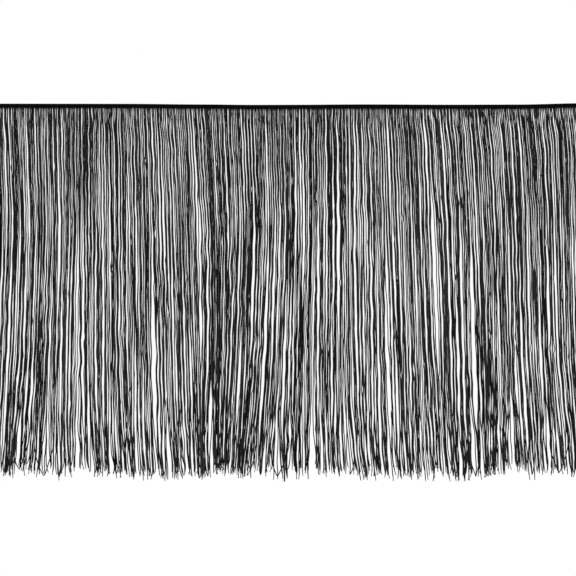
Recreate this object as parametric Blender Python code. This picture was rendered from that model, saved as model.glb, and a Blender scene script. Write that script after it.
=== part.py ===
"""A cut length of black chainette fringe trim, hanging from its narrow heading.

Two yarn systems make it, and each is one solid. The heading is a crocheted tape, three rows of
chain stitches wide, bound over the fringe yarn. The fringe is that yarn: a strip laid inside the
heading, with the locks that drop from it. +X runs along the trim, -Y is its face and +Z is up. The
origin is the middle of the heading's top edge.
"""

import math
import random

import bmesh
import bpy
import numpy as np

MM = 0.001

# Driving dimensions of the whole trim
TRIM_LENGTH = 0.720
OVERALL_DROP = 0.457
YARN = 1.25 * MM

# Heading: a tape bound over the yarn, open only along its underside
HEADING_HEIGHT = 4.1 * YARN
HEADING_THICKNESS = 2.4 * YARN
CHAIN_ROWS = 3
CHAIN_RELIEF = 0.2 * YARN
GAP = 0.3 * MM
STATION_SPACING = 0.020

# Fringe: the strip inside the heading, and one lock for each group of yarns that hangs together
STRIP_THICKNESS = 0.8 * YARN
HEADING_TOP_WALL = 1.3 * YARN
LOCKS = 240
LOCK_WIDTH = 1.5 * YARN
LOCK_DEPTH = 1.0 * YARN
ROOT_WIDTH = 1.3 * YARN
ROOT_DEPTH = 0.6 * YARN
LEAST_SPACING = LOCK_WIDTH + GAP
LAYERS = 3
LAYER_SPACING = LOCK_DEPTH + GAP

# How far below the heading each ring of a lock lies, as a share of the lock's length, and the size
# of its section there
RINGS = (
    # share, section
    (0.03, 1.00),
    (0.28, 1.00),
    (0.56, 1.00),
    (0.80, 1.00),
    (0.96, 0.95),
    (1.00, 0.40),
)

# The line that the heading takes between the points that hold it
HEADING_LINE = (
    # along, rise, both in millimetres
    (-360, 1.4),
    (-200, 1.2),
    (-100, 0.4),
    (-45, -0.1),
    (0, 0.0),
    (95, 0.5),
    (200, 0.1),
    (280, 0.3),
    (360, 1.9),
)

# How far the hanging curtain sways to the right, at depths below the heading in millimetres, for
# locks that start at these places along it
SWAY_DEPTHS = (0, 30, 140, 300, 400, 460)
SWAY = (
    # along, then the shift at each depth, all in millimetres
    (-337, 0, 1, 5, 0, -8, -13),
    (-290, 0, 0, 3, -2, -6, -8),
    (-249, 0, 0, 1, 0, 1, 4),
    (-191, 0, 2, 4, 5, 7, 12),
    (-132, 0, 3, 8, 13, 16, 20),
    (-103, 0, 3, 9, 9, 8, 10),
    (-73, 0, 2, 7, 3, -4, -7),
    (-44, 0, 1, 5, -1, -9, -14),
    (-10, 0, 0, 3, -2, -8, -10),
    (30, 0, 0, 1, -1, -1, 1),
    (73, 0, 1, 2, 3, 5, 11),
    (132, 0, 3, 7, 12, 15, 19),
    (165, 0, 4, 10, 16, 20, 25),
    (205, 0, 5, 11, 15, 18, 22),
    (249, 0, 5, 11, 14, 17, 18),
    (300, 0, 5, 10, 14, 22, 25),
    (345, 0, 6, 9, 12, 21, 24),
)

# Where the curtain of locks parts, how far down each parting starts and ends, and its full width
PARTINGS = (
    # along, starts, ends, width, all in millimetres
    (-342, 330, 600, 3),
    (-297, 390, 600, 3),
    (-257, 150, 600, 4),
    (-244, 390, 600, 3),
    (-200, 60, 260, 2),
    (-172, 150, 600, 6),
    (-159, 350, 600, 4),
    (-117, 70, 260, 4),
    (-60, 230, 600, 4),
    (-10, 370, 600, 6),
    (31, 150, 600, 4),
    (43, 390, 600, 3),
    (87, 60, 260, 2),
    (113, 150, 600, 6),
    (125, 350, 600, 4),
    (167, 70, 260, 4),
    (212, 140, 330, 4),
    (243, 220, 600, 2),
    (256, 330, 600, 7),
    (285, 80, 350, 2),
    (297, 330, 600, 4),
    (315, 340, 600, 3),
)
PARTING_REACH = 0.020
PARTING_OPENS_OVER = 0.090

# Places along the trim, in millimetres, whose neighbours' tips lean together
GATHERINGS = (-332, -273, -233, -201, -91, -45, 14, 52, 84, 125, 181, 233, 290)
GATHERING_REACH = 0.014
GATHERING_PULL = 0.5
GATHERING_STARTS = 0.70

# Small tufts into which neighbouring locks gather towards their tips
TUFT_SPACING = (0.009, 0.016)
TUFT_PULL = 0.3
TUFT_STARTS = 0.70
DRIFT = 1.1 * MM
TIP_UNEVENNESS = 6 * MM

SEED = 11


def clear_scene():
    for thing in list(bpy.data.objects):
        bpy.data.objects.remove(thing, do_unlink=True)


def yarn_material(name, colour, roughness):
    material = bpy.data.materials.new(name)
    material.use_nodes = True
    shader = material.node_tree.nodes["Principled BSDF"]
    shader.inputs["Base Color"].default_value = (*colour, 1.0)
    shader.inputs["Roughness"].default_value = roughness
    shader.inputs["Metallic"].default_value = 0.0
    return material


def smooth(share):
    """0 below 0, 1 above 1, and an even curve between."""
    share = min(1.0, max(0.0, share))
    return share * share * (3.0 - 2.0 * share)


def heading_rise(along):
    """How high the heading's line stands at this place along the trim."""
    at = along / MM
    for (start, low), (end, high) in zip(HEADING_LINE, HEADING_LINE[1:]):
        if at <= end:
            return (low + (high - low) * smooth((at - start) / (end - start))) * MM
    return HEADING_LINE[-1][1] * MM


def stations():
    """The places along the trim where the heading's line may bend."""
    spans = round(TRIM_LENGTH / STATION_SPACING)
    return [TRIM_LENGTH * (i / spans - 0.5) for i in range(spans + 1)]


def swayed(along, below):
    """How far the curtain has swayed sideways, that far below the heading."""
    places, *columns = zip(*SWAY)
    shifts = [np.interp(along / MM, places, column) for column in columns]
    return float(np.interp(below / MM, SWAY_DEPTHS, shifts)) * MM


def parted(along, below):
    """How far the partings push a yarn sideways, that far below the heading."""
    shift = 0.0
    for place, starts, ends, width in PARTINGS:
        away = along - place * MM
        nearness = 1.0 - abs(away) / PARTING_REACH
        if nearness <= 0.0:
            continue
        opened = smooth((below - starts * MM) / PARTING_OPENS_OVER)
        closed = smooth((below - ends * MM) / PARTING_OPENS_OVER)
        shift += math.copysign(0.5 * width * MM * nearness * (opened - closed), away)
    return shift


def tuft_centres(chance):
    """Places along the trim towards which the locks' tips gather."""
    centres = [-0.5 * TRIM_LENGTH + chance.uniform(0.0, TUFT_SPACING[0])]
    while centres[-1] < 0.5 * TRIM_LENGTH:
        centres.append(centres[-1] + chance.uniform(*TUFT_SPACING))
    return centres


def tufted(along, centres, share):
    """How far the nearest tuft pulls a lock sideways, at this share of its length."""
    centre = min(centres, key=lambda place: abs(place - along))
    return TUFT_PULL * (centre - along) * smooth((share - TUFT_STARTS) / (1.0 - TUFT_STARTS))


def gathered(along, share):
    """How far a lock leans toward the gatherings beside it, at this share of its length."""
    shift = 0.0
    for place in GATHERINGS:
        away = along - place * MM
        shift -= GATHERING_PULL * away * math.exp(-((away / GATHERING_REACH) ** 2))
    return shift * smooth((share - GATHERING_STARTS) / (1.0 - GATHERING_STARTS))


def drifts(chance):
    """A slow sideways wander down one lock, as a function of the share of its length."""
    waves = [(chance.uniform(0.4, 1.0) / n, n, chance.uniform(0.0, math.tau)) for n in (1, 2, 3)]

    def drift(share):
        wander = sum(size * math.sin(math.pi * n * share + phase) for size, n, phase in waves)
        return DRIFT * wander * smooth(share / 0.3)

    return drift


def kept_apart(places, least):
    """The places moved as little as needed for each to be at least that far past the one before."""
    onward = list(places)
    for i in range(1, len(onward)):
        onward[i] = max(onward[i], onward[i - 1] + least)
    backward = list(places)
    for i in range(len(backward) - 2, -1, -1):
        backward[i] = min(backward[i], backward[i + 1] - least)
    return [0.5 * (a + b) for a, b in zip(onward, backward)]


def lock_rings():
    """For each ring, the centre of every lock as (along, depth, height), and the section's size."""
    chance = random.Random(SEED)
    centres = tuft_centres(chance)
    pitch = TRIM_LENGTH / LOCKS
    roots = [pitch * (i + 0.5) - 0.5 * TRIM_LENGTH for i in range(LOCKS)]
    drift = [drifts(chance) for _ in roots]
    top = [heading_rise(x) - HEADING_HEIGHT for x in roots]
    drop = OVERALL_DROP - HEADING_HEIGHT
    lengths = [drop - chance.uniform(0.0, 2.0) * TIP_UNEVENNESS for _ in roots]
    depths = [(i % LAYERS - 0.5 * (LAYERS - 1)) * LAYER_SPACING for i in range(LOCKS)]
    rings = []
    for share, section in RINGS:
        across = [
            x + swayed(x, share * drop) + parted(x, share * drop) + gathered(x, share)
            + tufted(x, centres, share) + drift[i](share)
            for i, x in enumerate(roots)
        ]
        if share == RINGS[0][0]:
            across = kept_apart(across, LEAST_SPACING)
        for layer in range(LAYERS):
            across[layer::LAYERS] = kept_apart(across[layer::LAYERS], LEAST_SPACING)
        places = [(x, depths[i], top[i] - share * lengths[i]) for i, x in enumerate(across)]
        rings.append((places, section))
    return roots, rings


def section_corners(centre, width, depth):
    """A lock's three-sided section: a ridge to the face and a flat to the back."""
    x, y, z = centre
    return ((x, y - 0.5 * depth, z), (x + 0.5 * width, y + 0.5 * depth, z), (x - 0.5 * width, y + 0.5 * depth, z))


def finish_object(name, bm, material, smooth_angle):
    mesh = bpy.data.meshes.new(name)
    bmesh.ops.recalc_face_normals(bm, faces=bm.faces)
    bm.to_mesh(mesh)
    bm.free()
    mesh.materials.append(material)
    mesh.shade_smooth()
    mesh.set_sharp_from_angle(angle=math.radians(smooth_angle))
    thing = bpy.data.objects.new(name, mesh)
    bpy.context.scene.collection.objects.link(thing)
    return thing


def heading_profile():
    """The tape's section as (depth, height): flat back, ribbed face, and a groove from below."""
    half = 0.5 * HEADING_THICKNESS
    groove = 0.5 * STRIP_THICKNESS + GAP
    row = HEADING_HEIGHT / CHAIN_ROWS
    profile = [(half, -HEADING_HEIGHT), (half, -0.2 * row), (half - 0.2 * row, 0.0)]
    for n in range(CHAIN_ROWS):
        crest = -half
        valley = -half + CHAIN_RELIEF
        profile.append((valley, -n * row))
        profile.append((crest, -(n + 0.28) * row))
        profile.append((crest, -(n + 0.72) * row))
    profile.append((-half + CHAIN_RELIEF, -HEADING_HEIGHT))
    profile.append((-groove, -HEADING_HEIGHT))
    profile.append((-groove, -HEADING_TOP_WALL))
    profile.append((groove, -HEADING_TOP_WALL))
    profile.append((groove, -HEADING_HEIGHT))
    return profile


def swept(bm, profile):
    """Sweeps a closed section along the heading's line and caps both ends."""
    rings = [
        [bm.verts.new((x, y, z + heading_rise(x))) for y, z in profile] for x in stations()
    ]
    for ring, following in zip(rings, rings[1:]):
        for i in range(len(profile)):
            j = (i + 1) % len(profile)
            bm.faces.new((ring[i], ring[j], following[j], following[i]))
    bm.faces.new(rings[0])
    bm.faces.new(rings[-1])
    return rings


def build_heading(material):
    bm = bmesh.new()
    swept(bm, heading_profile())
    return finish_object("heading", bm, material, 40)


def strip_with_open_underside(bm):
    """The yarn laid inside the heading: three long sides and two ends. Returns the underside's rim."""
    half = 0.5 * STRIP_THICKNESS
    roof = -(HEADING_TOP_WALL + GAP)
    profile = ((-half, -HEADING_HEIGHT), (-half, roof), (half, roof), (half, -HEADING_HEIGHT))
    rings = [
        [bm.verts.new((x, y, z + heading_rise(x))) for y, z in profile] for x in stations()
    ]
    rim = []
    for ring, following in zip(rings, rings[1:]):
        for i in range(len(profile) - 1):
            bm.faces.new((ring[i], ring[i + 1], following[i + 1], following[i]))
        rim.append(bm.edges.get((ring[0], following[0])))
        rim.append(bm.edges.get((ring[-1], following[-1])))
    for ring in (rings[0], rings[-1]):
        bm.faces.new(ring)
        rim.append(bm.edges.get((ring[0], ring[-1])))
    return rim


def build_fringe(material):
    bm = bmesh.new()
    lock_of = bm.verts.layers.int.new("lock")
    corner_of = bm.verts.layers.int.new("corner")
    rim = strip_with_open_underside(bm)
    roots, rings = lock_rings()

    ends = []
    for i, x in enumerate(roots):
        root = (x, 0.0, heading_rise(x) - HEADING_HEIGHT)
        corners = [bm.verts.new(place) for place in section_corners(root, ROOT_WIDTH, ROOT_DEPTH)]
        for n, corner in enumerate(corners):
            corner[lock_of] = i
            corner[corner_of] = n
        ends.append(bm.faces.new(corners))
    holes = [edge for face in ends for edge in face.edges]
    bmesh.ops.triangle_fill(bm, edges=rim + holes, use_beauty=True, normal=(0.0, 0.0, -1.0))

    for places, section in rings:
        ends = bmesh.ops.extrude_discrete_faces(bm, faces=ends)["faces"]
        for corner in {vert for face in ends for vert in face.verts}:
            place = places[corner[lock_of]]
            around = section_corners(place, section * LOCK_WIDTH, section * LOCK_DEPTH)
            corner.co = around[corner[corner_of]]
    return finish_object("fringe", bm, material, 30)


def main():
    clear_scene()
    heading_yarn = yarn_material("heading_yarn", (0.006, 0.006, 0.0065), 0.85)
    fringe_yarn = yarn_material("fringe_yarn", (0.010, 0.010, 0.011), 0.60)
    build_heading(heading_yarn)
    build_fringe(fringe_yarn)


main()
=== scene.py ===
"""Black chainette fringe trim: looped yarn bound along its top by a crocheted heading."""

import math

import bpy
import numpy as np
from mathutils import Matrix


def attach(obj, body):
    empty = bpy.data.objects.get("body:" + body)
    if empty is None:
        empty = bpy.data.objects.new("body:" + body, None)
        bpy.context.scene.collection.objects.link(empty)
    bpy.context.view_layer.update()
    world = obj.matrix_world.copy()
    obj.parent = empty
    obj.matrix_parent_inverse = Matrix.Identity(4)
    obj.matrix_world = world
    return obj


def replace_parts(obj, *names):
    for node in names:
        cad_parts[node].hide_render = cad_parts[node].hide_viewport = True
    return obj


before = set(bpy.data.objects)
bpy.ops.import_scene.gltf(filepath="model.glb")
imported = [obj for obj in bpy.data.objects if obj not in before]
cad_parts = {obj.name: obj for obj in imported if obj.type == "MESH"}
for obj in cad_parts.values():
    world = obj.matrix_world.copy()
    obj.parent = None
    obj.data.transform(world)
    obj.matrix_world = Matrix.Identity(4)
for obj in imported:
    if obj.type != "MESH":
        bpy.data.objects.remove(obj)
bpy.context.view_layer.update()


# Fringe yarn. One black yarn, knitted as a fine chain, is laid up and down across the heading. It
# turns over the heading's top edge in a hairpin, so each course has two legs, and the bottom bends
# are cut open but for a few that the shears missed. Four pieces hold a quarter of the courses each.

MM = 0.001
YARN_DIAMETER = 1.25 * MM
YARN_SIDES = 5
TRIM_LENGTH = 720 * MM
HEADING_HEIGHT = 5.125 * MM
COURSES = 360
COURSES_IN_A_PIECE = 90
COURSE_PITCH = TRIM_LENGTH / COURSES
LEGS = 2 * COURSES
SHORTEST_DROP = 439 * MM
USUAL_DROP = 451 * MM
LONGEST_DROP = 460 * MM

HEADING_LINE = (
    # along, rise, both in millimetres
    (-360, 1.4),
    (-200, 1.2),
    (-100, 0.4),
    (-45, -0.1),
    (0, 0.0),
    (95, 0.5),
    (200, 0.1),
    (280, 0.3),
    (360, 1.9),
)

SWAY_DEPTHS = (0, 30, 140, 300, 400, 460)
SWAY = (
    # along, then the shift at each depth, all in millimetres
    (-337, 0, 1, 5, 0, -8, -13),
    (-290, 0, 0, 3, -2, -6, -8),
    (-249, 0, 0, 1, 0, 1, 4),
    (-191, 0, 2, 4, 5, 7, 12),
    (-132, 0, 3, 8, 13, 16, 20),
    (-103, 0, 3, 9, 9, 7, 8),
    (-73, 0, 2, 7, 3, -2, -4),
    (-44, 0, 1, 5, 0, -7, -12),
    (-10, 0, 0, 3, -2, -8, -10),
    (30, 0, 0, 1, -1, -1, 1),
    (73, 0, 1, 2, 3, 5, 11),
    (132, 0, 3, 7, 12, 15, 19),
    (165, 0, 4, 10, 16, 20, 25),
    (205, 0, 5, 11, 15, 18, 22),
    (249, 0, 5, 11, 14, 17, 18),
    (300, 0, 5, 10, 14, 22, 25),
    (345, 0, 6, 9, 12, 21, 24),
)

PARTINGS = (
    # along, starts, ends, width, all in millimetres
    (-342, 330, 600, 3),
    (-297, 390, 600, 3),
    (-257, 150, 600, 4),
    (-244, 390, 600, 3),
    (-200, 60, 260, 2),
    (-172, 150, 600, 2),
    (-159, 350, 600, 4),
    (-117, 70, 260, 4),
    (-103, 300, 600, 5),
    (-60, 230, 600, 3),
    (-10, 370, 600, 5),
    (31, 150, 600, 2),
    (43, 390, 600, 3),
    (87, 60, 260, 2),
    (113, 150, 600, 4),
    (125, 350, 600, 4),
    (167, 70, 260, 4),
    (212, 140, 330, 4),
    (243, 220, 600, 2),
    (256, 330, 600, 5),
    (285, 80, 350, 2),
    (297, 330, 600, 4),
    (315, 340, 600, 3),
)

BOTTOM_LINE = (
    # along at the tips, how much longer the yarn is there, in millimetres
    (-344, 0),
    (-312, -4),
    (-290, 2),
    (-248, -4),
    (-215, 1),
    (-155, 3),
    (-108, 2),
    (-74, -6),
    (-56, 0),
    (-34, -4),
    (-8, 2),
    (37, -4),
    (72, 1),
    (130, 3),
    (170, 1),
    (205, 3),
    (250, 0),
    (275, -6),
    (297, 0),
    (323, -4),
    (344, -1),
)

UNCUT_BENDS = (
    # along, drop, gap between the legs, all in millimetres
    (-329, 446, 16),
    (-298, 454, 20),
    (-210, 452, 6),
    (-98, 454, 10),
    (-46, 446, 15),
    (-13, 454, 20),
    (76, 452, 6),
    (202, 453, 11),
    (230, 454, 8),
    (298, 452, 8),
    (331, 450, 18),
)


def eased(distance, reach):
    """0 up to no distance, 1 from that reach on, and an even curve between."""
    share = np.clip(distance / reach, 0.0, 1.0)
    return share * share * (3.0 - 2.0 * share)


def toward_tip(to_tip, reach):
    """1 at a leg's tip, 0 from that reach above it on, and an even curve between."""
    return eased(reach - to_tip, reach)


def heading_rise(along):
    """How high the heading's line stands at these places along the trim."""
    rise = np.full_like(along, HEADING_LINE[-1][1] * MM)
    for (start, low), (end, high) in reversed(list(zip(HEADING_LINE, HEADING_LINE[1:]))):
        share = eased(along / MM - start, end - start)
        rise = np.where(along / MM <= end, (low + (high - low) * share) * MM, rise)
    return rise


def swayed(root, below):
    """How far the hanging curtain has swayed sideways, that far below the heading."""
    places, *columns = zip(*SWAY)
    shifts = np.hstack([np.interp(root / MM, places, column) for column in columns])
    spread = [np.interp(leg, SWAY_DEPTHS, shift) for leg, shift in zip(below / MM, shifts)]
    return np.stack(spread) * MM


PARTING_REACH = 20 * MM
PARTING_OPENS_OVER = 90 * MM


def parted(root, below):
    """How far the partings of the curtain push yarn sideways, that far below the heading."""
    shift = np.zeros_like(below)
    for place, starts, ends, width in PARTINGS:
        away = root - place * MM
        nearness = np.clip(1.0 - np.abs(away) / PARTING_REACH, 0.0, 1.0)
        opened = eased(below - starts * MM, PARTING_OPENS_OVER)
        closed = eased(below - ends * MM, PARTING_OPENS_OVER)
        shift += np.sign(away) * 0.5 * width * MM * nearness * (opened - closed)
    return shift


GATHERINGS = (-332, -273, -233, -201, -45, 14, 52, 84, 125, 181, 233, 290)
GATHERING_REACH = 15 * MM
GATHERING_PULL = 0.26


def gathered(root):
    """How far tips lean sideways toward the nearest gatherings."""
    shift = np.zeros_like(root)
    for place in GATHERINGS:
        away = root - place * MM
        shift -= GATHERING_PULL * away * np.exp(-(away / GATHERING_REACH) ** 2)
    return shift


def wavering(chance, below, wave):
    """One slow sideways wave down each leg, of its own length and phase, that starts at nothing.

    A wave is given as its shortest length, its longest length and its size, in millimetres.
    """
    shortest, longest, size = wave
    length = chance.uniform(shortest, longest, (len(below), 1)) * MM
    phase = chance.uniform(0.0, math.tau, (len(below), 1))
    started = np.sin(phase) * np.exp(-below / length)
    return size * MM * (np.sin(math.tau * below / length + phase) - started)


def shared(root, shift, reach):
    """What each leg's shift has in common with those of its neighbours."""
    nearness = np.exp(-0.5 * ((root - root.T) / reach) ** 2)
    return nearness @ shift / nearness.sum(axis=1, keepdims=True)


COURSE_PLAY = 0.1 * MM
TIGHTEST_TURN = 0.42 * MM
WIDEST_TURN = 0.52 * MM


def looped_courses(chance):
    """Each leg's middle of its course, side of that middle, and the radius of its hairpin."""
    middle = COURSE_PITCH * (np.arange(COURSES) + 0.5) - 0.5 * TRIM_LENGTH
    middle += chance.uniform(-COURSE_PLAY, COURSE_PLAY, COURSES)
    turn_radius = chance.uniform(TIGHTEST_TURN, WIDEST_TURN, COURSES)
    side = np.tile([-1.0, 1.0], COURSES)
    return np.repeat(middle, 2)[:, None], side[:, None], np.repeat(turn_radius, 2)[:, None]


NARROWEST_TUFT = 6.5 * MM
WIDEST_TUFT = 12 * MM
TUFT_DEPTH = 400 * MM
TUFT_UNEVENNESS = 1.5 * MM


def tufted(chance, root):
    """The middle of the tuft that each leg falls into, and how much longer that tuft hangs."""
    edges = np.cumsum(chance.uniform(NARROWEST_TUFT, WIDEST_TUFT, LEGS)) - 0.5 * TRIM_LENGTH
    low = root + parted(root, np.full_like(root, TUFT_DEPTH))
    tuft = np.searchsorted(edges, low[:, 0])
    legs_in_tuft = np.bincount(tuft)
    middle = np.bincount(tuft, root[:, 0]) / np.maximum(legs_in_tuft, 1)
    longer = chance.normal(0.0, TUFT_UNEVENNESS, len(legs_in_tuft))
    return middle[tuft, None], longer[tuft, None]


CUTTING_DEPTH = 430 * MM


def cut_drops(chance, root, longer):
    """How far each leg hangs, and the number of the uncut bend that it belongs to, or -1."""
    drop = chance.triangular(SHORTEST_DROP, USUAL_DROP, LONGEST_DROP, (LEGS, 1))
    low = root + swayed(root, np.full_like(root, CUTTING_DEPTH))
    places, longer_there = zip(*BOTTOM_LINE)
    drop += longer + np.interp(low / MM, places, longer_there) * MM
    drop = np.clip(drop, SHORTEST_DROP, LONGEST_DROP)
    bend = np.full((LEGS, 1), -1)
    for n, (place, bend_drop, gap) in enumerate(UNCUT_BENDS):
        for half in (-0.5, 0.5):
            away = np.abs(low - (place + half * gap) * MM)
            leg = np.argmin(np.where(bend < 0, away, np.inf))
            bend[leg] = n
            drop[leg] = bend_drop * MM
    return drop, bend


TURN_RINGS = 3
LEG_RINGS = 92
LEG_STEPS = TURN_RINGS + LEG_RINGS
QUARTER_TURN = 0.25 * math.tau
USUAL_TURN = 0.5 * MM
RING_BUNCHING = 0.3


def ring_distances(drop):
    """Distances from the hairpin's crown to each ring of a leg, closer at both its ends."""
    turn = np.linspace(0.0, QUARTER_TURN * USUAL_TURN, TURN_RINGS + 1)
    share = np.linspace(0.0, 1.0, LEG_RINGS + 1)[1:]
    share = share - RING_BUNCHING * np.sin(math.tau * share) / math.tau
    return np.hstack([np.tile(turn, (LEGS, 1)), turn[-1] + share * (drop - turn[-1])])


def hung_over(middle, side, turn_radius, along):
    """Where each ring lies along the trim and in height: over the top edge, then straight down."""
    turned = np.clip(along / turn_radius, 0.0, QUARTER_TURN)
    straight = np.maximum(along - QUARTER_TURN * turn_radius, 0.0)
    x = middle + side * turn_radius * np.sin(turned)
    crown = heading_rise(middle + side * turn_radius) - 0.5 * YARN_DIAMETER
    return x, crown - turn_radius * (1.0 - np.cos(turned)) - straight


CRIMP_STARTS_OVER = 4 * MM
CRIMP_REACH = 20 * MM
STRONG_CRIMP = 1.8
STRONG_CRIMP_STARTS = 130 * MM
STRONG_CRIMP_OVER = 60 * MM
RIPPLE_STARTS_OVER = 10 * MM
NEAR_FREEDOM = 0.16
NEAR_FREEDOM_OVER = 60 * MM
FULL_FREEDOM_OVER = 250 * MM
COURSE_SHIFT = 0.17 * MM
STRAY_REACH = 3.7 * MM
CRIMP_WAVE = (14, 28, 0.12)
RIPPLE_WAVE = (15, 32, 0.06)
LEG_WAVES = ((110, 200, 0.12), (300, 700, 0.65))
COURSE_WAVES = ((110, 200, 0.1), (300, 700, 0.75))


def freedom(below):
    """How freely yarn strays, that far below the heading."""
    near = eased(below, NEAR_FREEDOM_OVER)
    full = eased(below, FULL_FREEDOM_OVER)
    return NEAR_FREEDOM * near + (1.0 - NEAR_FREEDOM) * full


def strayed(chance, root, below, bound):
    """How far each leg crimps, ripples and drifts, less what its neighbours do too."""
    crimp = eased(below, CRIMP_STARTS_OVER) * np.exp(-below / CRIMP_REACH)
    crimp *= 1.0 + STRONG_CRIMP * eased(root - STRONG_CRIMP_STARTS, STRONG_CRIMP_OVER)
    stray = crimp * wavering(chance, below, CRIMP_WAVE)
    stray += eased(below, RIPPLE_STARTS_OVER) * wavering(chance, below, RIPPLE_WAVE)
    for wave in LEG_WAVES:
        stray += freedom(below) * wavering(chance, below, wave)
    course_below = below[::2]
    course_stray = chance.normal(0.0, COURSE_SHIFT, (COURSES, 1)) * bound[::2]
    for wave in COURSE_WAVES:
        course_stray += freedom(course_below) * wavering(chance, course_below, wave)
    stray += np.repeat(course_stray, 2, axis=0)
    return stray - shared(root, stray, STRAY_REACH)


CLING = 0.75 * MM
CLING_STARTS_OVER = 35 * MM
CLING_WAVE = (300, 700, 0.64)
CLING_REACH = 0.9 * MM
CLUSTER_REACH = 3.2 * MM


def clung(chance, root, below):
    """How far legs that cling together move as one, away from the clusters beside them."""
    course_below = below[::2]
    cling = chance.normal(0.0, CLING, (COURSES, 1)) * eased(course_below, CLING_STARTS_OVER)
    cling += freedom(course_below) * wavering(chance, course_below, CLING_WAVE)
    cling = np.repeat(cling, 2, axis=0)
    return shared(root, cling, CLING_REACH) - shared(root, cling, CLUSTER_REACH)


STRONGEST_TUFT_PULL = 0.6
TUFT_PULL_REACH = 60 * MM
GATHERS_OVER = 150 * MM
LEAN = 1.9 * MM
LEANS_OVER = 100 * MM
TIP_WAVE = (22, 45, 0.15)
TIP_WAVES_OVER = 80 * MM
HOOK = 1.1 * MM
HOOK_REACH = 13 * MM


def tips_drawn(chance, root, tuft_middle, below, to_tip):
    """How far the ends draw into tufts and gatherings, lean, waver and hook."""
    pull = chance.uniform(0.0, STRONGEST_TUFT_PULL, (LEGS, 1))
    shift = pull * (tuft_middle - root) * toward_tip(to_tip, TUFT_PULL_REACH)
    shift += gathered(root) * toward_tip(to_tip, GATHERS_OVER)
    shift += chance.normal(0.0, LEAN, (LEGS, 1)) * toward_tip(to_tip, LEANS_OVER)
    shift += wavering(chance, below, TIP_WAVE) * toward_tip(to_tip, TIP_WAVES_OVER)
    hook = chance.normal(0.0, HOOK, (LEGS, 1))
    shift += hook * np.clip(1.0 - to_tip / HOOK_REACH, 0.0, 1.0) ** 2
    return shift


OPENING_PUSH = 0.4
OPENING_MIDDLE = 0.15
OPENS_OVER = 70 * MM


def held_open(x, to_tip):
    """How far the uncut bends hold other ends out of their gaps."""
    shift = np.zeros((LEGS, 1))
    for place, _, gap in UNCUT_BENDS:
        reach = 0.5 * gap * MM
        away = (x[:, -1:] - place * MM) / reach
        nearness = np.clip(1.0 - np.abs(away), 0.0, 1.0)
        pushed = np.where(np.abs(away) > OPENING_MIDDLE, np.sign(away) * nearness, 0.0)
        shift += OPENING_PUSH * pushed * reach
    return shift * toward_tip(to_tip, OPENS_OVER)


LAYER_PLACES = (0.5, 0.5, 1.5, 1.5)
LAYER_PITCH = 1.3 * MM
LAYERS_PART_OVER = 25 * MM
LAYER_FAN = 0.7
LAYERS_FAN_OVER = 430 * MM
DEPTH_WAVE = 0.35 * MM
DEPTH_WAVE_LENGTH = 170 * MM


def layered(chance, side, along, below):
    """How far behind the heading's middle each ring hangs, in four layers that fan out and waver."""
    front = np.repeat(chance.choice([-1.0, 1.0], COURSES), 2)[:, None] * side
    layer = front * np.tile(LAYER_PLACES, COURSES // 2)[:, None]
    fan = 1.0 + LAYER_FAN * eased(below, LAYERS_FAN_OVER)
    y = layer * LAYER_PITCH * eased(below, LAYERS_PART_OVER) * fan
    phase = chance.uniform(0.0, math.tau, (LEGS, 1))
    y += DEPTH_WAVE * freedom(below) * np.sin(math.tau * along / DEPTH_WAVE_LENGTH + phase)
    return y


BEND_HEIGHT = 20 * MM
BEND_ROUNDNESS = 1.6


def join_bends(bend, x, y, to_tip):
    """Brings the two legs of each uncut bend together at the bend's lowest point."""
    for n, (place, _, gap) in enumerate(UNCUT_BENDS):
        met = bend[:, 0] == n
        height = BEND_HEIGHT + gap * MM
        closing = np.clip(1.0 - to_tip[met] / height, 0.0, 1.0) ** BEND_ROUNDNESS
        x[met] += closing * (place * MM - x[met])
        y[met] += closing * (y[met].mean() - y[met])


FULLNESS = 0.08
FULL_ABOVE_TIP = 10 * MM
FULLNESS_OVER = 60 * MM
FRAY = 7 * MM
SHORTEST_FRAY = 0.5
LONGEST_FRAY = 1.2
FRAY_THINS_OVER = 0.45
FRAYED_END = 0.72


def yarn_radius(chance, bend, to_tip):
    """The yarn's radius at each ring: a touch fuller low down, and thinner where a cut end frays."""
    full = 1.0 + FULLNESS * toward_tip(to_tip - FULL_ABOVE_TIP, FULLNESS_OVER)
    fray = FRAY * chance.uniform(SHORTEST_FRAY, LONGEST_FRAY, (LEGS, 1))
    frayed = np.where(bend < 0, np.clip(1.0 - to_tip / fray, 0.0, 1.0), 0.0)
    return 0.5 * YARN_DIAMETER * full * (1.0 - (1.0 - FRAYED_END) * eased(frayed, FRAY_THINS_OVER))


ROUGHNESS = 0.05 * MM
ROUGHNESS_STARTS_OVER = 10 * MM
HIGHEST_KINK = 60 * MM
LOWEST_KINK = 430 * MM
KINK = 0.6 * MM
KINK_LENGTH = 3.5 * MM
SHARED_WAVE = (30, 80, 1.4)
SHARED_WAVE_STARTS_OVER = 15 * MM
SHARED_WAVE_REACH = 4 * MM


def kinked(chance, root, below):
    """How far out of line each ring sits: roughness, one kink a leg, and a waver neighbours share."""
    shift = eased(below, ROUGHNESS_STARTS_OVER) * chance.normal(0.0, ROUGHNESS, below.shape)
    kink_depth = chance.uniform(HIGHEST_KINK, LOWEST_KINK, (LEGS, 1))
    kink = chance.normal(0.0, KINK, (LEGS, 1))
    shift += kink * np.exp(-((below - kink_depth) / KINK_LENGTH) ** 2)
    together = eased(below, SHARED_WAVE_STARTS_OVER) * wavering(chance, below, SHARED_WAVE)
    return shift + shared(root, together, SHARED_WAVE_REACH)


YARN_SEED = 38
BOUND_TOGETHER = 0.4
SWAY_EVENED_OVER = (-20 * MM, 0.0, 20 * MM)


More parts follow.
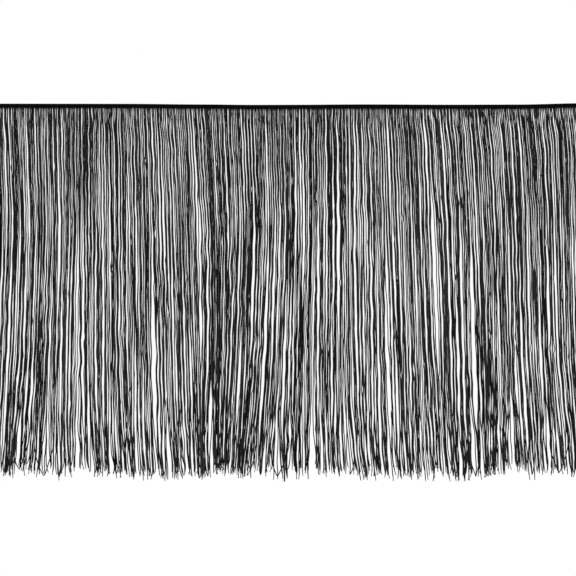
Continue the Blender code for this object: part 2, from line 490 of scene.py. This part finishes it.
def draped_legs():
    """Centre, radius, length so far and painted-sheen shade at every ring of the legs, two to a
    course.
    """
    chance = np.random.default_rng(YARN_SEED)
    middle, side, turn_radius = looped_courses(chance)
    root = middle + side * turn_radius
    tuft_middle, longer = tufted(chance, root)
    drop, bend = cut_drops(chance, root, longer)

    along = ring_distances(drop)
    below = np.maximum(along - HEADING_HEIGHT, 0.0)
    to_tip = drop - along
    bound = eased(along - 0.5 * HEADING_HEIGHT, HEADING_HEIGHT)
    x, z = hung_over(middle, side, turn_radius, along)
    x += BOUND_TOGETHER * bound * (middle - root)
    x += parted(root, below)
    x += sum(swayed(root, below + step) for step in SWAY_EVENED_OVER) / len(SWAY_EVENED_OVER)
    x += strayed(chance, root, below, bound)
    x += clung(chance, root, below)
    x += tips_drawn(chance, root, tuft_middle, below, to_tip)
    x += held_open(x, to_tip)
    y = layered(chance, side, along, below)
    join_bends(bend, x, y, to_tip)
    radius = yarn_radius(chance, bend, to_tip)
    # Each leg's shade, drawn at random, sets how much painted sheen its colour gets.
    shade = np.broadcast_to(chance.uniform(0.0, 1.0, (LEGS, 1)), x.shape)
    x += kinked(chance, root, below)
    return np.stack([x, y, z], axis=-1), radius, along, shade


def select_edges_along(piece, axis):
    """Selects the edges that run along that axis, ready for one edit."""
    bpy.ops.object.mode_set(mode="EDIT")
    bpy.ops.mesh.select_mode(type="EDGE")
    bpy.ops.mesh.select_all(action="DESELECT")
    bpy.ops.object.mode_set(mode="OBJECT")
    for edge in piece.data.edges:
        a, b = (piece.data.vertices[corner].co for corner in edge.vertices)
        edge.select = abs(getattr(a - b, axis)) > 0.5 * (a - b).length
    bpy.ops.object.mode_set(mode="EDIT")


def repeat(piece, name, count, step):
    """Arrays a piece that many times, one step apart."""
    row = piece.modifiers.new(name, "ARRAY")
    row.count = count
    row.use_relative_offset = False
    row.use_constant_offset = True
    row.constant_offset_displace = step
    bpy.ops.object.modifier_apply(modifier=row.name)


UNLAID_RADIUS = 0.1


def straight_yarns(name):
    """Yarns not yet laid: upright, side by side, one unit long and one apart, ringed to bend."""
    bpy.ops.object.select_all(action="DESELECT")
    bpy.ops.mesh.primitive_cylinder_add(
        vertices=YARN_SIDES, radius=UNLAID_RADIUS, depth=1.0, end_fill_type="NGON")
    yarn = bpy.context.object
    yarn.name = name
    yarn.data.name = name
    for cuts in (1, LEG_STEPS - 1):
        select_edges_along(yarn, "z")
        bpy.ops.mesh.subdivide(number_cuts=cuts)
        bpy.ops.object.mode_set(mode="OBJECT")
    repeat(yarn, "Row of yarns", COURSES_IN_A_PIECE, (1.0, 0.0, 0.0))
    return yarn


def both_legs(values, first):
    """A piece's courses, each from its left leg's tip over the hairpin to its right leg's tip."""
    left, right = values[first::2], values[first + 1::2]
    whole = np.concatenate([left[:, ::-1], right[:, 1:]], axis=1)
    return whole[:COURSES_IN_A_PIECE]


def lay_yarns(yarn, centre, radius, along, shade):
    """Bends a row of straight yarns onto their centre lines, and keeps each one's length as its UV."""
    mesh = yarn.data
    place = np.empty(3 * len(mesh.vertices))
    mesh.vertices.foreach_get("co", place)
    place = place.reshape(-1, 3)
    course = np.rint(place[:, 0]).astype(int)
    ring = np.rint((place[:, 2] + 0.5) * 2 * LEG_STEPS).astype(int)
    turn = np.arctan2(place[:, 1], place[:, 0] - course)

    tangent = np.gradient(centre, axis=1)
    tangent /= np.linalg.norm(tangent, axis=2, keepdims=True)
    sideways = np.cross(tangent, (0.0, 1.0, 0.0))
    sideways /= np.linalg.norm(sideways, axis=2, keepdims=True)
    outward = np.cross(sideways, tangent)
    at = (course, ring)
    spoke = np.cos(turn)[:, None] * sideways[at] + np.sin(turn)[:, None] * outward[at]
    place = centre[at] + radius[at][:, None] * spoke
    mesh.vertices.foreach_set("co", place.ravel())

    corner_vertex = np.empty(len(mesh.loops), dtype=int)
    mesh.loops.foreach_get("vertex_index", corner_vertex)
    layer = mesh.uv_layers.active
    layer.name = "yarn"
    uv = np.empty(2 * len(mesh.loops))
    layer.data.foreach_get("uv", uv)
    uv = uv.reshape(-1, 2)
    uv[:, 1] = along[at][corner_vertex]
    layer.data.foreach_set("uv", uv.ravel())
    # The shade attribute carries each leg's share of the painted sheen into the yarn's finish.
    mesh.attributes.new("shade", "FLOAT", "POINT").data.foreach_set("value", shade[at])

    bpy.ops.object.mode_set(mode="EDIT")
    bpy.ops.mesh.select_all(action="SELECT")
    bpy.ops.mesh.normals_make_consistent(inside=False)
    bpy.ops.object.mode_set(mode="OBJECT")
    bpy.ops.object.shade_smooth()


class Value:
    """A shader socket that adds a Math node whenever it is calculated with."""

    def __init__(self, finish, socket):
        self.finish = finish
        self.socket = socket

    def math(self, operation, *others):
        sockets = dict(enumerate((self, *others)))
        return self.finish.node("ShaderNodeMath", {"operation": operation}, sockets)

    def __add__(self, other):
        return self.math("ADD", other)

    def __sub__(self, other):
        return self.math("SUBTRACT", other)

    def __mul__(self, other):
        return self.math("MULTIPLY", other)

    def __rsub__(self, other):
        return self.finish.node("ShaderNodeMath", {"operation": "SUBTRACT"}, {0: other, 1: self})

    __radd__ = __add__
    __rmul__ = __mul__


class Finish:
    """A material with one Principled shader, and the nodes that vary it over the surface."""

    def __init__(self, name, constants):
        self.material = bpy.data.materials.new(name)
        self.material.use_nodes = True
        self.tree = self.material.node_tree
        self.shader = self.tree.nodes["Principled BSDF"]
        self.set(self.shader, constants)

    def set(self, node, sockets):
        for name, value in sockets.items():
            if isinstance(value, Value):
                self.tree.links.new(value.socket, node.inputs[name])
            else:
                node.inputs[name].default_value = value

    def node(self, kind, settings, sockets, output=0):
        made = self.tree.nodes.new(kind)
        for name, value in settings.items():
            setattr(made, name, value)
        self.set(made, sockets)
        return Value(self, made.outputs[output])

    def mix(self, factor, first, second):
        """A colour between two, through the Mix node's own colour sockets."""
        sockets = {0: factor, 6: first, 7: second}
        return self.node("ShaderNodeMix", {"data_type": "RGBA"}, sockets, 2)

    def bump(self, height, strength, distance):
        sockets = {"Strength": strength, "Distance": distance, "Height": height}
        return self.node("ShaderNodeBump", {}, sockets)


# YARN_SHEEN is painted sheen: the lighter yarn colour stands in for light reflected off the fibres.
YARN_BLACK = (0.0004, 0.0004, 0.0004, 1.0)
YARN_SHEEN = (0.0480, 0.0480, 0.0490, 1.0)
LEG_SHEEN_SHARE = 0.85
KNIT_SHEEN_SHARE = 0.15
KNIT_PITCH = 1.7 * MM
RIB_DEPTH = 0.15 * MM
RIB_STRENGTH = 0.6


def yarn_finish():
    """Black knitted yarn with painted sheen: ribs that wind both ways around it, with painted
    highlights on their crests, and each leg's own shade, a tone that differs at random, setting how
    far its black is mixed toward the painted sheen.
    """
    finish = Finish("fringe_yarn", {"Roughness": 0.62, "Specular IOR Level": 0.02})
    uv = finish.node("ShaderNodeUVMap", {"uv_map": "yarn"}, {})
    axes = finish.node("ShaderNodeSeparateXYZ", {}, {"Vector": uv})
    around = axes * math.tau
    along = Value(finish, axes.socket.node.outputs["Y"]) * (math.tau / KNIT_PITCH)
    left = (along + around).math("SINE")
    right = (along - around).math("SINE")
    knit = left.math("MAXIMUM", right)
    shade = finish.node("ShaderNodeAttribute", {"attribute_name": "shade"}, {}, "Fac")
    # Painted sheen: each leg's shade and the rib crests lighten the yarn's black toward the sheen
    # colour.
    light = shade * LEG_SHEEN_SHARE + knit * KNIT_SHEEN_SHARE
    finish.set(finish.shader, {
        "Base Color": finish.mix(light, YARN_BLACK, YARN_SHEEN),
        "Normal": finish.bump(knit, RIB_STRENGTH, RIB_DEPTH),
    })
    return finish.material


centre, radius, along, shade = draped_legs()
fringe_yarn = yarn_finish()
for n in range(COURSES // COURSES_IN_A_PIECE):
    yarn = straight_yarns(f"fringe_yarn_{n + 1}")
    first = 2 * n * COURSES_IN_A_PIECE
    lay_yarns(yarn, *(both_legs(values, first) for values in (centre, radius, along, shade)))
    yarn.data.materials.append(fringe_yarn)
    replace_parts(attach(yarn, "root"), "fringe")


# Heading chains. Three rows of black chain stitch are crocheted through the yarn on the face and
# the back, one stitch to a course, and each row closes over a stout thread laid in lengthways. They
# bind the hairpins into a firm narrow edge that is stitched to a lampshade or a hem.

CHAIN_ROWS = 3
ROW_HEIGHT = HEADING_HEIGHT / CHAIN_ROWS
THREAD_TWIST = 0.9 * MM
STRAND_SLANT = 0.6
STRAND_DEPTH = 0.08 * MM
STRAND_STRENGTH = 0.5
# THREAD_SHEEN is painted sheen, laid on the crest of each twist strand.
THREAD_BLACK = (0.0022, 0.0022, 0.0023, 1.0)
THREAD_SHEEN = (0.0045, 0.0045, 0.0047, 1.0)


def heading_finish():
    """Black crochet thread, with the slanting strands of its twist, painted lighter on their crests as
    a painted sheen.
    """
    finish = Finish("heading_yarn", {"Roughness": 0.7, "Specular IOR Level": 0.04})
    place = finish.node("ShaderNodeTexCoord", {}, {}, "Object")
    axes = finish.node("ShaderNodeSeparateXYZ", {}, {"Vector": place})
    up = Value(finish, axes.socket.node.outputs["Z"])
    strands = ((axes + up * STRAND_SLANT) * (math.tau / THREAD_TWIST)).math("SINE")
    finish.set(finish.shader, {
        # Painted sheen: the twist strands' crests mix the thread's black toward the sheen colour.
        "Base Color": finish.mix(strands * 0.5 + 0.5, THREAD_BLACK, THREAD_SHEEN),
        "Normal": finish.bump(strands, STRAND_STRENGTH, STRAND_DEPTH),
    })
    return finish.material


def follow_heading(piece):
    """Raises a straight piece onto the heading's line."""
    place = np.empty(3 * len(piece.data.vertices))
    piece.data.vertices.foreach_get("co", place)
    place = place.reshape(-1, 3)
    place[:, 2] += heading_rise(place[:, 0])
    piece.data.vertices.foreach_set("co", place.ravel())
    piece.data.update()


def select_corners(piece, wanted):
    """Selects the vertices whose place passes, ready for one edit."""
    bpy.ops.object.mode_set(mode="EDIT")
    bpy.ops.mesh.select_mode(type="VERT")
    bpy.ops.mesh.select_all(action="DESELECT")
    bpy.ops.object.mode_set(mode="OBJECT")
    for corner in piece.data.vertices:
        corner.select = wanted(corner.co)
    bpy.ops.object.mode_set(mode="EDIT")


CHAIN_THREAD = 0.72 * MM
CHAIN_DEPTH = 0.95 * MM
STITCH_SEGMENTS = 10
THREAD_SIDES = 4
STITCH_LENGTH = 1.55 * COURSE_PITCH
STITCH_MIDDLE = 0.1 * MM
STITCH_LIFT = 0.25 * MM
STITCH_TAIL = -0.35 * STITCH_LENGTH
STITCH_PINCH = 0.55


def chain_rows(name, side):
    """Three rows of chain stitch: a drop-shaped loop, pinched where the next one passes through it."""
    bpy.ops.object.select_all(action="DESELECT")
    bpy.ops.mesh.primitive_torus_add(
        major_segments=STITCH_SEGMENTS, minor_segments=THREAD_SIDES,
        major_radius=0.5 * (ROW_HEIGHT - CHAIN_THREAD), minor_radius=0.5 * CHAIN_THREAD,
        rotation=(math.radians(90), 0.0, 0.0))
    chain = bpy.context.object
    chain.name = name
    chain.data.name = name
    bpy.ops.object.transform_apply(location=False, rotation=True, scale=False)
    stretch = 0.5 * (STITCH_LENGTH - ROW_HEIGHT)
    select_corners(chain, lambda place: place.x > STITCH_MIDDLE)
    bpy.ops.transform.translate(value=(stretch, side * STITCH_LIFT, 0.0))
    bpy.ops.object.mode_set(mode="OBJECT")
    select_corners(chain, lambda place: place.x < STITCH_MIDDLE)
    bpy.ops.transform.translate(value=(-stretch, 0.0, 0.0))
    bpy.ops.object.mode_set(mode="OBJECT")
    select_corners(chain, lambda place: place.x < STITCH_TAIL)
    bpy.ops.transform.resize(value=(1.0, 1.0, STITCH_PINCH), center_override=(0.0, 0.0, 0.0))
    bpy.ops.mesh.select_all(action="SELECT")
    bpy.ops.transform.translate(
        value=(0.5 * (COURSE_PITCH - TRIM_LENGTH), side * CHAIN_DEPTH, -0.5 * ROW_HEIGHT))
    bpy.ops.object.mode_set(mode="OBJECT")
    repeat(chain, "Stitches along a row", COURSES, (COURSE_PITCH, 0.0, 0.0))
    repeat(chain, "Rows of stitches", CHAIN_ROWS, (0.0, 0.0, -ROW_HEIGHT))
    follow_heading(chain)
    bpy.ops.object.shade_smooth()
    return chain


LAID_THREAD = 1.25 * MM
LAID_FLATNESS = 0.5
LAID_DEPTH = 0.62 * MM
LAID_SIDES = 8
LAID_STEPS = 300


def laid_threads(name, side):
    """One thread laid lengthways under each row of stitches, flattened against the yarn."""
    bpy.ops.object.select_all(action="DESELECT")
    bpy.ops.mesh.primitive_cylinder_add(
        vertices=LAID_SIDES, radius=0.5 * LAID_THREAD, depth=TRIM_LENGTH,
        rotation=(0.0, math.radians(90), 0.0))
    thread = bpy.context.object
    thread.name = name
    thread.data.name = name
    bpy.ops.object.transform_apply(location=False, rotation=True, scale=False)
    bpy.ops.object.mode_set(mode="EDIT")
    bpy.ops.mesh.select_all(action="SELECT")
    bpy.ops.transform.resize(value=(1.0, LAID_FLATNESS, 1.0))
    bpy.ops.transform.translate(value=(0.0, side * LAID_DEPTH, -0.5 * ROW_HEIGHT))
    bpy.ops.object.mode_set(mode="OBJECT")
    select_edges_along(thread, "x")
    bpy.ops.mesh.subdivide(number_cuts=LAID_STEPS)
    bpy.ops.object.mode_set(mode="OBJECT")
    repeat(thread, "Rows of threads", CHAIN_ROWS, (0.0, 0.0, -ROW_HEIGHT))
    follow_heading(thread)
    bpy.ops.object.shade_smooth()
    return thread


heading_yarn = heading_finish()
for side, facing in ((-1, "face"), (1, "back")):
    chains = chain_rows(f"heading_chains_{facing}", side)
    threads = laid_threads(f"laid_threads_{facing}", side)
    for piece in (chains, threads):
        piece.data.materials.append(heading_yarn)
        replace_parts(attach(piece, "root"), "heading")


# Floor, light and camera. The trim hangs clear above a plain pale floor in even white light, and
# the camera faces it squarely, so that it runs out of both sides of the frame.

FLOOR_HEIGHT = -0.75
FLOOR_RADIUS = 0.9
FLOOR_SIDES = 96
FLOOR_PALE = (0.8, 0.8, 0.8, 1.0)
STUDIO_WHITE = (1.0, 1.0, 1.0, 1.0)
LAMP_PLACE = (-1.2, -1.6, 1.2)
LAMP_TURN = (math.radians(50), 0.0, math.radians(-35))
LAMP_SIZE = 1.5
LAMP_POWER = 12
FRAME_WIDTH = 704 * MM
FRAME_PIXELS = 576
TOP_EDGE_PIXEL = 104.8
CAMERA_DISTANCE = 2.0
CAMERA_HEIGHT = (TOP_EDGE_PIXEL - 0.5 * FRAME_PIXELS) * FRAME_WIDTH / FRAME_PIXELS
SENSOR_WIDTH = 36

bpy.ops.object.select_all(action="DESELECT")
bpy.ops.mesh.primitive_circle_add(
    vertices=FLOOR_SIDES, radius=FLOOR_RADIUS, fill_type="NGON",
    location=(0.0, 0.0, FLOOR_HEIGHT))
floor = bpy.context.object
floor.name = "floor"
floor_finish = Finish("pale_floor", {"Base Color": FLOOR_PALE, "Roughness": 0.8})
floor.data.materials.append(floor_finish.material)

world = bpy.data.worlds.new("white_studio")
bpy.context.scene.world = world
world.use_nodes = True
world.node_tree.nodes["Background"].inputs["Color"].default_value = STUDIO_WHITE
world.node_tree.nodes["Background"].inputs["Strength"].default_value = 1.0

bpy.ops.object.light_add(type="AREA", location=LAMP_PLACE, rotation=LAMP_TURN)
lamp = bpy.context.object
lamp.data.size = LAMP_SIZE
lamp.data.energy = LAMP_POWER

bpy.ops.object.camera_add(
    location=(0.0, -CAMERA_DISTANCE, CAMERA_HEIGHT), rotation=(math.radians(90), 0.0, 0.0))
camera = bpy.context.object
camera.data.sensor_width = SENSOR_WIDTH
camera.data.lens = SENSOR_WIDTH * CAMERA_DISTANCE / FRAME_WIDTH
bpy.context.scene.camera = camera
bpy.context.scene.view_settings.view_transform = "Standard"
